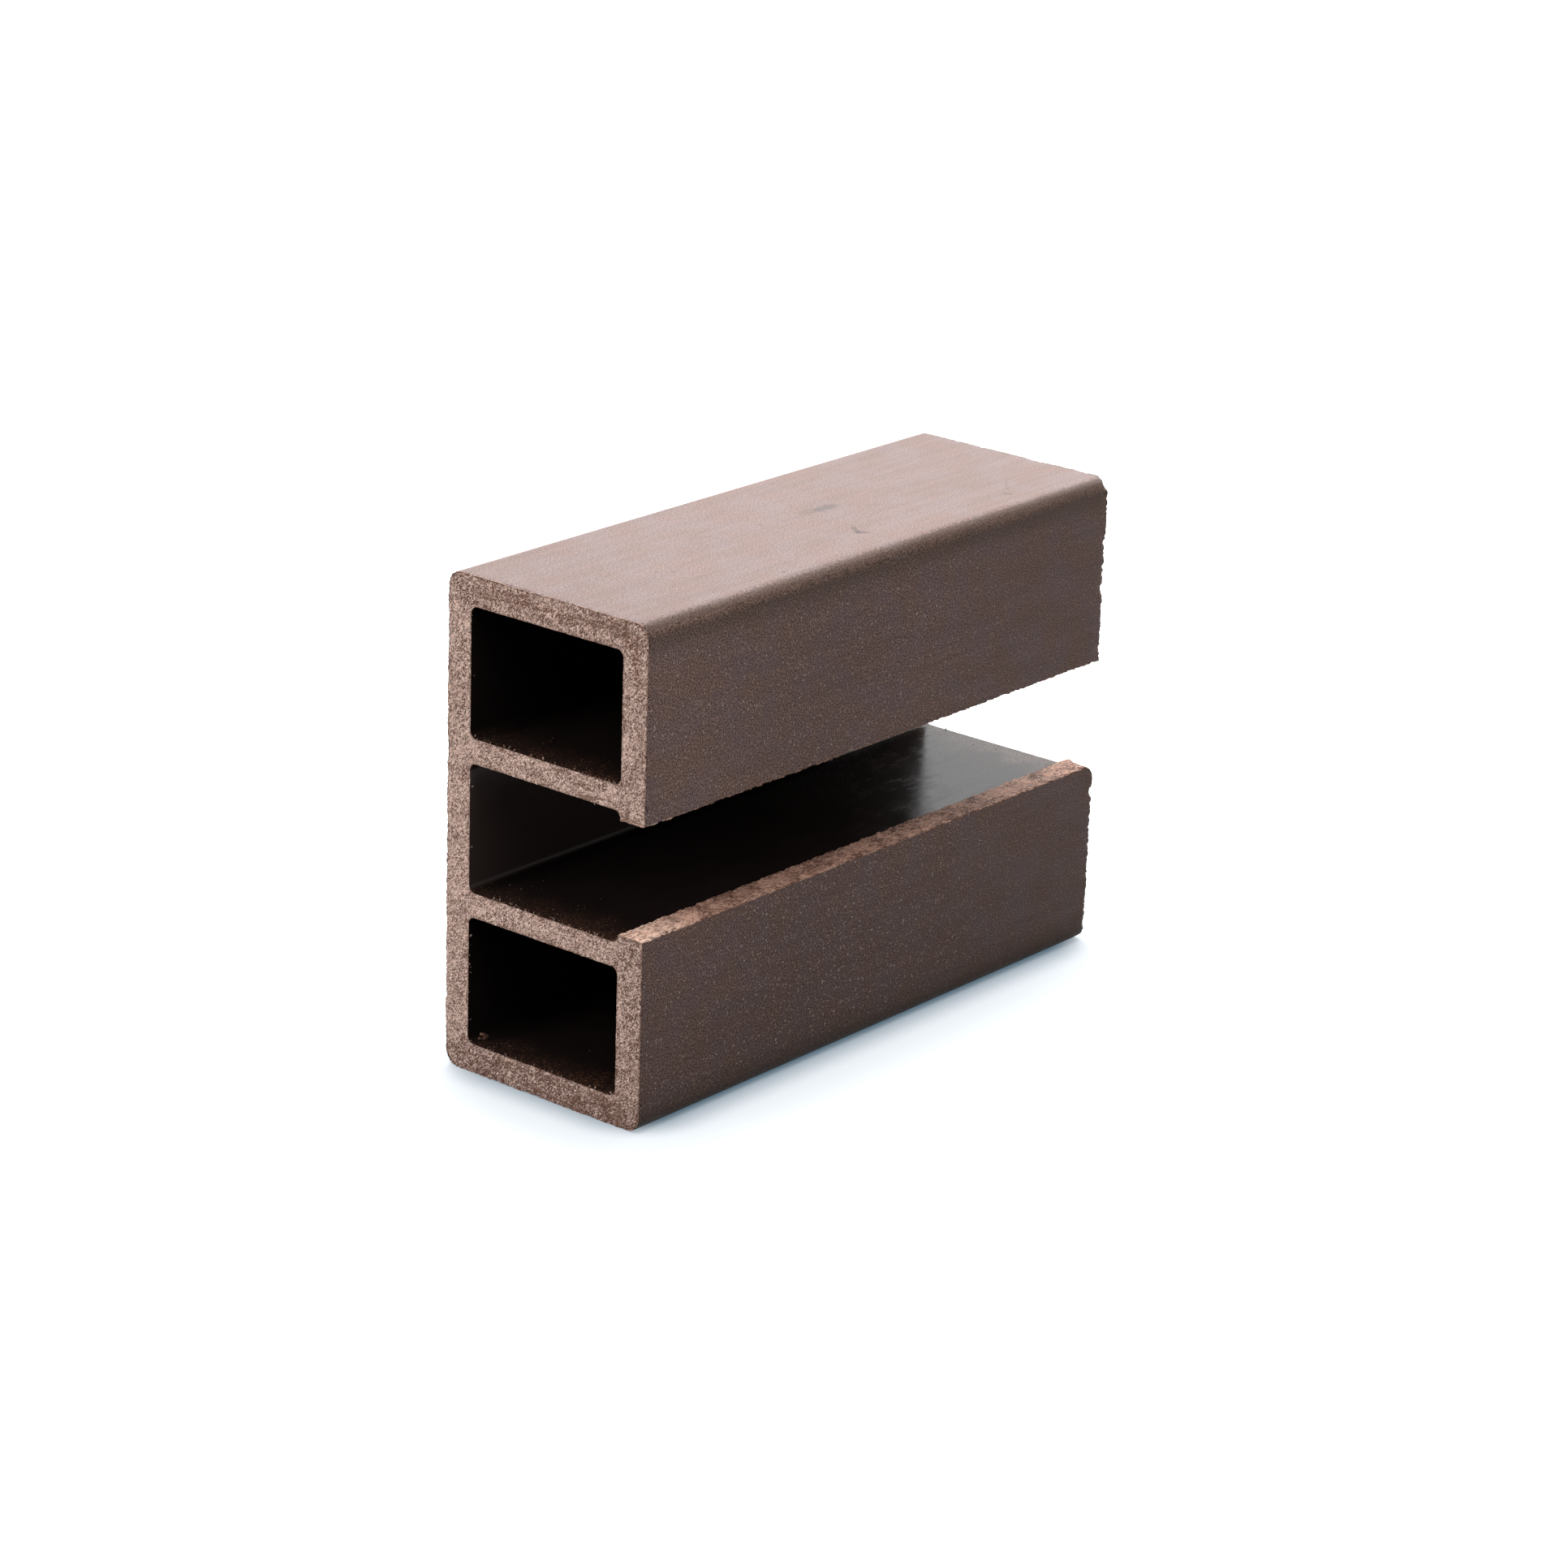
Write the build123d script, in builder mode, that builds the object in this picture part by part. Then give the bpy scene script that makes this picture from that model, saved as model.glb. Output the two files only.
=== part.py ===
# Composite fence U-profile: a sawn length of a three-cell wood-plastic extrusion.
# The middle cell is opened along its whole length, so it becomes the slot that holds a fence board.
# X runs along the extrusion, the slot opens towards -Y and the profile stands on its narrow side at Z = 0.
from build123d import *
import os

# Driving dimensions, in millimetres
sample_length = 112.0  # between the two saw cuts
section_depth = 40.0  # slot face to back face
section_height = 80.0  # across the three cells
outer_wall = 4.8  # top, bottom, front and back walls
rib_thickness = 4.0  # partition between two cells
cell_count = 3
lip_height = 1.5  # front wall left standing on each side of the slot mouth
outer_radius = 2.5  # long outside edges
inner_radius = 1.2  # long inside edges of every cell

# Section worked out from the driving dimensions
cell_depth = section_depth - 2 * outer_wall
rib_count = cell_count - 1
cell_height = (section_height - 2 * outer_wall - rib_count * rib_thickness) / cell_count
cell_pitch = cell_height + rib_thickness
middle_height = section_height / 2
mouth_height = cell_height - 2 * lip_height
front_face = -section_depth / 2

# One extruded piece, from saw cut to saw cut
with BuildPart() as u_profile:
    with BuildSketch(Plane.YZ.offset(-sample_length / 2)) as section:
        # Outside of the section, standing on its narrow side
        with Locations((0, middle_height)):
            RectangleRounded(section_depth, section_height, outer_radius)
        # Cells stacked one above the other, with a rib between neighbours
        with Locations((0, middle_height)):
            with GridLocations(0, cell_pitch, 1, cell_count):
                RectangleRounded(cell_depth, cell_height, inner_radius, mode=Mode.SUBTRACT)
        # Slot mouth, sawn through the front wall of the middle cell between its two lips
        with Locations((front_face, middle_height)):
            Rectangle(
                outer_wall + inner_radius,
                mouth_height,
                align=(Align.MIN, Align.CENTER),
                mode=Mode.SUBTRACT,
            )
    extrude(amount=sample_length)

u_profile.part.label = "u_profile"

os.makedirs("parts", exist_ok=True)
export_step(u_profile.part, "parts/u_profile.step")
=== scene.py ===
import math
import bpy
from mathutils import Matrix, Vector


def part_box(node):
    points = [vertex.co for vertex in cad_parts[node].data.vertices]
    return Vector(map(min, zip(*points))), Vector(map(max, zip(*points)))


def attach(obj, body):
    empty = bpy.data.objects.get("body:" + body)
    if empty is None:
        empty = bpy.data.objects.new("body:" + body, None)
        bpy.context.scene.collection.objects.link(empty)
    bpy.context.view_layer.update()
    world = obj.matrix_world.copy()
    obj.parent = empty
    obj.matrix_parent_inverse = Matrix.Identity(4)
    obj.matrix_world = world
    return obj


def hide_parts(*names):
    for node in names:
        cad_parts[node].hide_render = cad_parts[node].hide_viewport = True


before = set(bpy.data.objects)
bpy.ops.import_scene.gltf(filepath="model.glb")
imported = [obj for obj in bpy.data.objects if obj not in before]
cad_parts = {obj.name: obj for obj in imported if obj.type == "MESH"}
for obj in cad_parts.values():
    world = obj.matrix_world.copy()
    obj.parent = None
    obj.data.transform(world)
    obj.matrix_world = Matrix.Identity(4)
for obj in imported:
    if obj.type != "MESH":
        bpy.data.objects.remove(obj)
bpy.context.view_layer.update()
nodeLow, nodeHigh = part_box("u_profile")
length, depth, height = nodeHigh - nodeLow
mm = 0.001
print("frame loaded, profile of", [round(v / mm, 1) for v in (length, depth, height)], "mm")


# node helpers, shared by the shape trees and the finishes
def feed(tree, value, socket):
    if isinstance(value, bpy.types.NodeSocket):
        tree.links.new(value, socket)
    else:
        socket.default_value = value


def addNode(tree, kind, inputs=None, **settings):
    node = tree.nodes.new(kind)
    for name, value in settings.items():
        setattr(node, name, value)
    for key, value in (inputs or {}).items():
        feed(tree, value, node.inputs[key])
    return node


def calc(tree, operation, *values, clamp=False):
    node = addNode(tree, "ShaderNodeMath", dict(enumerate(values)), operation=operation, use_clamp=clamp)
    return node.outputs[0]


def vecCalc(tree, operation, *values):
    node = addNode(tree, "ShaderNodeVectorMath", dict(enumerate(values)), operation=operation)
    return node.outputs["Value" if operation in ("LENGTH", "DOT_PRODUCT", "DISTANCE") else "Vector"]


def vecScale(tree, vector, factor):
    return addNode(tree, "ShaderNodeVectorMath", {0: vector, "Scale": factor}, operation="SCALE").outputs[0]


def splitVec(tree, vector):
    return addNode(tree, "ShaderNodeSeparateXYZ", {0: vector}).outputs


def joinVec(tree, x=0.0, y=0.0, z=0.0):
    return addNode(tree, "ShaderNodeCombineXYZ", {0: x, 1: y, 2: z}).outputs[0]


def ease(tree, value, low, high, start=0.0, end=1.0):
    inputs = {0: value, 1: low, 2: high, 3: start, 4: end}
    return addNode(tree, "ShaderNodeMapRange", inputs, interpolation_type="SMOOTHSTEP").outputs[0]


def noise(tree, vector, scale, detail=2.0, rough=0.5, seed=0.0):
    inputs = {"Vector": vector, "W": seed, "Scale": scale, "Detail": detail, "Roughness": rough}
    return addNode(tree, "ShaderNodeTexNoise", inputs, noise_dimensions="4D").outputs[0]


def times(tree, value, *factors):
    for factor in factors:
        value = calc(tree, "MULTIPLY", value, factor)
    return value


# a noise of 0 to 1, made to swing to both sides of zero
def swing(tree, value, amount):
    return times(tree, calc(tree, "SUBTRACT", value, 0.5), amount)


def lessThan(tree, a, b):
    node = addNode(tree, "FunctionNodeCompare", {0: a, 1: b}, data_type="FLOAT", operation="LESS_THAN")
    return node.outputs[0]


def isNumber(tree, value, number):
    node = addNode(tree, "FunctionNodeCompare", {2: value, 3: number}, data_type="INT", operation="EQUAL")
    return node.outputs[0]


def logic(tree, operation, *values):
    return addNode(tree, "FunctionNodeBooleanMath", dict(enumerate(values)), operation=operation).outputs[0]


def choose(tree, test, no, yes, kind="FLOAT"):
    return addNode(tree, "GeometryNodeSwitch", {0: test, 1: no, 2: yes}, input_type=kind).outputs[0]


def keep(tree, geometry, name, value, kind, domain):
    inputs = {"Geometry": geometry, "Name": name, "Value": value}
    node = addNode(tree, "GeometryNodeStoreNamedAttribute", inputs, data_type=kind, domain=domain)
    return node.outputs[0]


def recall(tree, name, kind):
    return addNode(tree, "GeometryNodeInputNamedAttribute", {"Name": name}, data_type=kind).outputs[0]


def weld(tree, geometry):
    return addNode(tree, "GeometryNodeMergeByDistance", {0: geometry, "Distance": weldGap}).outputs[0]


# section of the profile, a flat sheet of small squares in the plane of the cut
section = {
    "wall": 4.8 * mm,
    "rib": 4.0 * mm,
    "cells": 3,
    "lip": 1.5 * mm,
    "outerRadius": 2.5 * mm,
    "innerRadius": 1.2 * mm,
    "lipSkin": 0.3 * mm,  # torn top of each lip, made as a strip of its own
    "square": 0.27 * mm,
}
cellDepth = depth - 2 * section["wall"]
cellHeight = (height - 2 * section["wall"] - (section["cells"] - 1) * section["rib"]) / section["cells"]
cellPitch = cellHeight + section["rib"]
cellCentres = [section["wall"] + cellHeight / 2 + k * cellPitch for k in range(section["cells"])]
middle = height / 2
mouthHeight = cellHeight - 2 * section["lip"]
bodyMouth = mouthHeight + 2 * section["lipSkin"]
tiny = 0.001 * mm
weldGap = 0.01 * mm


def gridLines(marks):
    lines = [marks[0]]
    for low, high in zip(marks, marks[1:]):
        count = max(1, round((high - low) / section["square"]))
        lines += [low + (high - low) * k / count for k in range(1, count + 1)]
    return lines


def isSolid(y, z):
    if abs(z - middle) < bodyMouth / 2 and y < 0:
        return False  # the mouth of the slot
    return all(abs(y) > cellDepth / 2 or abs(z - c) > cellHeight / 2 for c in cellCentres)


def roundOutside(y, z):
    r = section["outerRadius"]
    over = Vector((abs(y) - (depth / 2 - r), abs(z - middle) - (height / 2 - r)))
    if min(over) <= 0:
        return y, z
    over *= 1 - max(over) / over.length  # how far the square corner stands past its arc
    return y - math.copysign(over.x, y), z - math.copysign(over.y, z - middle)


def roundInside(y, z):
    r = section["innerRadius"]
    for centre in cellCentres:
        toSide, toEnd = cellDepth / 2 - abs(y), cellHeight / 2 - abs(z - centre)
        if abs(toSide) < tiny and -tiny < toEnd < r:
            turn = math.radians(45) * (1 - toEnd / r)
        elif abs(toEnd) < tiny and -tiny < toSide < r:
            turn = math.radians(45) * (1 + toSide / r)
        else:
            continue
        y = math.copysign(cellDepth / 2 - r + r * math.cos(turn), y)
        z = centre + math.copysign(cellHeight / 2 - r + r * math.sin(turn), z - centre)
        break
    return y, z


def makeSection():
    zMarks = {0.0, height, middle - bodyMouth / 2, middle + bodyMouth / 2}
    for centre in cellCentres:
        zMarks |= {centre - cellHeight / 2, centre + cellHeight / 2}
    yLines = gridLines([-depth / 2, -cellDepth / 2, cellDepth / 2, depth / 2])
    zLines = gridLines(sorted(zMarks))
    points, faces, seen = [], [], {}

    def corner(i, j):
        if (i, j) not in seen:
            seen[i, j] = len(points)
            points.append((0.0, *roundInside(*roundOutside(yLines[i], zLines[j]))))
        return seen[i, j]

    for i in range(len(yLines) - 1):
        for j in range(len(zLines) - 1):
            if isSolid((yLines[i] + yLines[i + 1]) / 2, (zLines[j] + zLines[j + 1]) / 2):
                faces.append([corner(i, j), corner(i, j + 1), corner(i + 1, j + 1), corner(i + 1, j)])
    mesh = bpy.data.meshes.new("section")
    mesh.from_pydata(points, [], faces)
    return mesh


# finishes of the composite
def newFinish(name):
    material = bpy.data.materials.new(name)
    material.use_nodes = True
    tree = material.node_tree
    shader = tree.nodes["Principled BSDF"]
    coords = addNode(tree, "ShaderNodeTexCoord").outputs["Object"]
    return material, tree, shader, vecScale(tree, coords, 1 / mm)


def blendColour(tree, factor, first, second):
    node = addNode(tree, "ShaderNodeMix", {0: factor}, data_type="RGBA")
    feed(tree, first, node.inputs[6])
    feed(tree, second, node.inputs[7])
    return node.outputs[2]


def dent(tree, heightField, distance):
    inputs = {"Strength": 1.0, "Distance": distance, "Height": heightField}
    return addNode(tree, "ShaderNodeBump", inputs).outputs[0]


brushed = {
    "plain": (0.134, 0.087, 0.0815, 1),
    "olive": (0.151, 0.0930, 0.0755, 1),
    "edge": (0.070, 0.043, 0.031, 1),  # darker rounded edges: partly the dark skin they keep, partly painted shade
    "edgeShadeReach": 6.5,  # down to here from the flat faces, in mm
    "fleck": (0.43, 0.298, 0.240, 1),
    "spark": (0.56, 0.46, 0.40, 1),  # a few bare fibre ends
    # light spots: cells per mm, size in cells, how rare, which colour
    "spots": ((1.9, 0.34, 0.50, "fleck"), (1.0, 0.19, 0.50, "spark")),
    "bare": (0.36, 0.21, 0.15, 1),  # raw material along the near cut and the mouth
    "burnt": (0.030, 0.019, 0.014, 1),  # along the far cut
    "roughness": 0.55,
    "sheen": 0.30,
    "sheenRoughness": 0.35,
    "sheenTint": (1.0, 0.96, 0.91, 1),
    "specular": 0.08,
    "nearCutLightShade": (0.22, -0.06),  # painted light on the standing faces by the near cut, partly saw dust, and painted shade on the flat faces there
    "footShadeTopLight": (0.82, 1.10),  # painted shade on the standing faces at the foot and painted light at the top
    "bump": 0.035 * mm,
    "rubbed": (-5.0, 50.0),  # the specks thin out between these places along the length, in mm
    # marks on the top face: two ends (x, y), half width, in mm, and how dark
    "marks": (
        (8.0, 1.0, 10.6, 1.2, 1.10, 0.34),
        (4.9, 1.7, 12.1, 1.0, 1.00, 0.20),
        (4.3, -8.9, 2.8, -11.1, 0.45, 0.45),
        (2.8, -11.1, 3.6, -11.8, 0.60, 0.50),
        (43.5, -8.7, 38.6, -12.4, 0.25, 0.20),
        (36.6, -13.6, 37.0, -14.6, 0.35, 0.45),
        (-18.6, 4.8, -15.3, 3.5, 0.22, 0.22),
        (-15.3, 3.5, -15.4, -0.7, 0.20, 0.20),
        (15.3, -2.1, 18.9, -5.0, 0.25, 0.18),
        (-35.3, -3.0, -35.0, -3.0, 0.26, 0.45),
        (-33.4, -4.9, -33.2, -4.9, 0.24, 0.45),
        (-21.6, -16.4, -21.3, -16.4, 0.35, 0.50),
        (-5.3, 2.2, -5.0, 2.2, 0.30, 0.45),
    ),
}


# short dark strokes with ragged edges, on the plane of two coordinates
def strokes(tree, p, u, v, rows):
    fray = noise(tree, p, 2.0, 2.0, 0.6, 12.0)
    shade = 1.0
    for u0, v0, u1, v1, half, depthOfTone in rows:
        span = Vector((u1 - u0, v1 - v0, 0))
        start = vecCalc(tree, "SUBTRACT", joinVec(tree, u, v), (u0, v0, 0))
        reached = vecCalc(tree, "DOT_PRODUCT", start, tuple(span))
        share = calc(tree, "DIVIDE", reached, span.length_squared, clamp=True)
        away = vecCalc(tree, "LENGTH", vecCalc(tree, "SUBTRACT", start, vecScale(tree, tuple(span), share)))
        away = calc(tree, "ADD", away, swing(tree, fray, half * 2.5))
        tone = ease(tree, away, half * 0.4, half * 1.5, depthOfTone, 0.0)
        shade = calc(tree, "MULTIPLY", shade, calc(tree, "SUBTRACT", 1.0, tone))
    return shade


def brushedFinish():
    material, tree, shader, p = newFinish("brushedSkin")
    x, y, z = splitVec(tree, p)
    fromCut = calc(tree, "SUBTRACT", length / 2 / mm, calc(tree, "ABSOLUTE", x))
    fromMiddle = calc(tree, "ABSOLUTE", calc(tree, "SUBTRACT", z, middle / mm))
    fromMouth = calc(tree, "ABSOLUTE", calc(tree, "SUBTRACT", fromMiddle, mouthHeight / 2 / mm))
    fromMouth = calc(tree, "ADD", fromMouth, calc(tree, "MAXIMUM", y, 0.0))  # none on the back
    blotch = ease(tree, noise(tree, p, 0.15, 3.0, 0.6), 0.38, 0.62)
    streak = noise(tree, vecCalc(tree, "MULTIPLY", p, (0.06, 1.0, 1.0)), 0.7, 3.0, 0.6, 3.0)
    speck = noise(tree, p, 4.0, 1.5, 0.6, 5.0)
    facing = splitVec(tree, addNode(tree, "ShaderNodeNewGeometry").outputs["Normal"])[2]
    facing = calc(tree, "ABSOLUTE", facing)
    standing = ease(tree, facing, 0.3, 0.9, 1.0, 0.65)  # the flat faces are sanded finer
    colour = blendColour(tree, calc(tree, "MULTIPLY", blotch, standing), brushed["plain"], brushed["olive"])
    fromFlat = calc(tree, "SUBTRACT", height / 2 / mm, fromMiddle)
    # painted shade on the rounded long edges, partly their own darker skin
    roundedEdgeShade = ease(tree, fromFlat, 1.5, brushed["edgeShadeReach"], 0.80, 0.0)
    roundedEdgeShade = calc(tree, "MULTIPLY", roundedEdgeShade, ease(tree, facing, 0.86, 0.98, 1.0, 0.0))
    mottle = calc(tree, "SUBTRACT", ease(tree, speck, 0.30, 0.74, 0.22, 2.15), 1.0)
    rubbed = ease(tree, x, *brushed["rubbed"], 1.0, 0.3)
    mottle = calc(tree, "MULTIPLY", mottle, ease(tree, rubbed, 0.3, 1.0, 0.75, 1.15))
    mottle = calc(tree, "ADD", calc(tree, "MULTIPLY", mottle, standing), 1.0)
    shade = calc(tree, "MULTIPLY", ease(tree, streak, 0.3, 0.7, 0.92, 1.08), mottle)
    marked = calc(tree, "SUBTRACT", 1.0, strokes(tree, p, x, y, brushed["marks"]))
    marked = calc(tree, "MULTIPLY", marked, ease(tree, z, height / mm - 0.3, height / mm - 0.1))
    shade = calc(tree, "MULTIPLY", shade, calc(tree, "SUBTRACT", 1.0, marked))
    upright = ease(tree, facing, 0.3, 0.9, 1.0, 0.0)
    # painted light and shade by the near cut: standing faces lighter, flat faces darker
    byCut = ease(tree, x, -55.0, -15.0, 1.0, 0.0)
    nearCutLightShade = times(tree, byCut, ease(tree, facing, 0.3, 0.9, *brushed["nearCutLightShade"]))
    shade = calc(tree, "MULTIPLY", shade, calc(tree, "ADD", nearCutLightShade, 1.0))
    # painted shade darkens the standing faces towards the foot, painted light brightens them towards the
    # top
    footShadeTopLight = calc(tree, "SUBTRACT", ease(tree, z, -8.0, 62.0, *brushed["footShadeTopLight"]), 1.0)
    footShadeTopLight = calc(tree, "MULTIPLY", footShadeTopLight, upright)
    shade = calc(tree, "MULTIPLY", shade, calc(tree, "ADD", footShadeTopLight, 1.0))
    colour = vecScale(tree, colour, shade)
    for scale, reach, rarity, tone in brushed["spots"]:
        cells = addNode(tree, "ShaderNodeTexVoronoi", {"Vector": p, "Scale": scale}).outputs
        chosen = splitVec(tree, cells["Color"])[0]
        spot = ease(tree, cells["Distance"], reach * 0.55, reach, 1.0, 0.0)
        spot = calc(tree, "MULTIPLY", spot, ease(tree, chosen, rarity, rarity + 0.2))
        spot = calc(tree, "MULTIPLY", spot, ease(tree, standing, 0.65, 1.0, 0.15, 1.0))
        spot = calc(tree, "MULTIPLY", spot, rubbed)
        colour = blendColour(tree, spot, colour, brushed[tone])
    colour = blendColour(tree, roundedEdgeShade, colour, vecScale(tree, brushed["edge"][:3], shade))
    edge = calc(tree, "MINIMUM", fromCut, fromMouth)
    worn = ease(tree, calc(tree, "ADD", edge, calc(tree, "MULTIPLY", speck, -0.55)), -0.12, -0.02, 1.0, 0.0)
    edgeTone = blendColour(tree, ease(tree, x, 40.0, 54.0), brushed["bare"], brushed["burnt"])
    colour = blendColour(tree, worn, colour, edgeTone)
    feed(tree, colour, shader.inputs["Base Color"])
    rough = ease(tree, blotch, 0.0, 1.0, brushed["roughness"] - 0.04, brushed["roughness"] + 0.04)
    feed(tree, rough, shader.inputs["Roughness"])
    shader.inputs["Specular IOR Level"].default_value = brushed["specular"]
    shader.inputs["Sheen Weight"].default_value = brushed["sheen"]
    shader.inputs["Sheen Roughness"].default_value = brushed["sheenRoughness"]
    shader.inputs["Sheen Tint"].default_value = brushed["sheenTint"]
    relief = calc(tree, "ADD", speck, streak)
    feed(tree, dent(tree, relief, brushed["bump"]), shader.inputs["Normal"])
    return material


extruded = {
    "plain": (0.011, 0.0080, 0.0075, 1),
    "dust": (0.095, 0.040, 0.022, 1),
    "dustReach": 9.0,  # how far the saw dust lies inside the cut, in mm
    "stain": (0.015, 0.010, 0.0085, 1),
    "film": (0.022, 0.016, 0.0135, 1),
    "filmRun": (-15.0, 35.0),  # grows between these places along the length, in mm
    "roughness": 0.18,
    "dullRoughness": 0.36,
    "slotBackLight": (0.055, 0.038, 0.034, 1),
    "specular": 0.074,
    "bump": 0.015 * mm,
}


def extrudedFinish():
    material, tree, shader, p = newFinish("extrudedSkin")
    x, y, z = splitVec(tree, p)
    fromCut = calc(tree, "SUBTRACT", length / 2 / mm, calc(tree, "ABSOLUTE", x))
    along = vecCalc(tree, "MULTIPLY", p, (0.03, 1.0, 1.0))
    dieLines = noise(tree, along, 0.9, 3.0, 0.6)
    stains = noise(tree, vecCalc(tree, "MULTIPLY", p, (0.6, 1.0, 1.0)), 0.26, 3.0, 0.5, 3.0)
    grains = ease(tree, noise(tree, p, 2.6, 3.0, 0.7, 2.0), 0.40, 0.70)
    _, sideways, facing = splitVec(tree, addNode(tree, "ShaderNodeNewGeometry").outputs["True Normal"])
    lying = ease(tree, facing, 0.2, 0.8, 0.06, 1.0)  # dust lies on what faces up
    toLip = ease(tree, y, -cellDepth / 2 / mm, cellDepth / 2 / mm, 1.0, 0.45)  # and drifts to the slot side
    reach = calc(tree, "ADD", fromCut, swing(tree, stains, 16.0))
    dust = times(tree, grains, ease(tree, reach, 0.0, extruded["dustReach"], 1.0, 0.0), lying, toLip)
    streaks = calc(tree, "ADD", calc(tree, "MULTIPLY", stains, 0.6), calc(tree, "MULTIPLY", dieLines, 0.4))
    stained = ease(tree, streaks, 0.25, 0.80)
    colour = blendColour(tree, stained, extruded["plain"], extruded["stain"])
    fromMiddle = calc(tree, "ABSOLUTE", calc(tree, "SUBTRACT", z, middle / mm))
    inSlot = ease(tree, calc(tree, "SUBTRACT", cellHeight / 2 / mm, fromMiddle), 0.0, 1.0)
    # painted light on the back wall of the slot, fading away from the near cut
    slotBackLight = times(tree, ease(tree, sideways, -0.2, -0.8), inSlot, ease(tree, x, -20.0, 20.0, 1.0, 0.0))
    colour = blendColour(tree, slotBackLight, colour, extruded["slotBackLight"])
    cloud = noise(tree, vecCalc(tree, "MULTIPLY", p, (0.5, 1.0, 1.0)), 0.55, 4.0, 0.65, 7.0)
    cloud = calc(tree, "MULTIPLY", ease(tree, cloud, 0.36, 0.74), ease(tree, x, *extruded["filmRun"]))
    colour = blendColour(tree, cloud, colour, extruded["film"])
    colour = blendColour(tree, dust, colour, extruded["dust"])
    feed(tree, colour, shader.inputs["Base Color"])
    dull = calc(tree, "MAXIMUM", dust, calc(tree, "MULTIPLY", calc(tree, "ADD", stained, cloud), 0.5))
    rough = ease(tree, dull, 0.0, 1.0, extruded["roughness"], extruded["dullRoughness"])
    feed(tree, rough, shader.inputs["Roughness"])
    shader.inputs["Specular IOR Level"].default_value = extruded["specular"]
    relief = calc(tree, "ADD", calc(tree, "MULTIPLY", dust, 2.0), dieLines)
    feed(tree, dent(tree, relief, extruded["bump"]), shader.inputs["Normal"])
    return material


sawnEnd = {
    "dark": (0.085, 0.037, 0.025, 1),
    "light": (0.735, 0.525, 0.440, 1),
    "glint": (0.88, 0.72, 0.63, 1),
    "smear": (0.12, 0.056, 0.036, 1),
    "grain": 4.2,  # grains per mm
    "stretch": (1.0, 1.0, 1.0),
    "shaded": 0.10,  # how much darker the grain is on the bottom wall
    "patchy": 0.30,
    "bump": 0.10 * mm,
    # drags on the near end: two ends (y, z), half width, in mm, and how dark
    "drags": (
        (6.5, 77.6, -1.0, 78.0, 0.45, 0.95),
        (-1.0, 77.6, -3.4, 77.3, 0.60, 0.90),
        (-4.5, 77.8, -9.5, 77.6, 0.80, 0.75),
        (-16.3, 77.2, -17.5, 74.4, 0.80, 0.95),
        (-17.5, 74.4, -18.3, 70.8, 0.90, 0.85),
        (12.0, 78.2, 8.0, 78.0, 0.60, 0.60),
    ),
}
sawnLip = {
    "dark": (0.115, 0.049, 0.030, 1),
    "light": (0.69, 0.395, 0.290, 1),
    "glint": (0.80, 0.57, 0.46, 1),
    "smear": (0.12, 0.056, 0.036, 1),
    "grain": 3.6,
    "stretch": (0.55, 1.0, 1.0),  # fibres run along the saw's way
    "shaded": 0.0,
    "patchy": 0.90,
    "bump": 0.10 * mm,
}
sawnGloss = {"roughness": 0.7, "specular": 0.2}  # the same for every sawn finish
sawDust = {
    "dark": (0.060, 0.024, 0.014, 1),
    "light": (0.26, 0.14, 0.095, 1),
    "glint": (0.50, 0.34, 0.27, 1),
    "smear": (0.06, 0.024, 0.014, 1),
    "grain": 2.0,
    "stretch": (1.0, 1.0, 1.0),
    "shaded": 0.0,
    "patchy": 0.90,
    "bump": 0.03 * mm,
}


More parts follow.
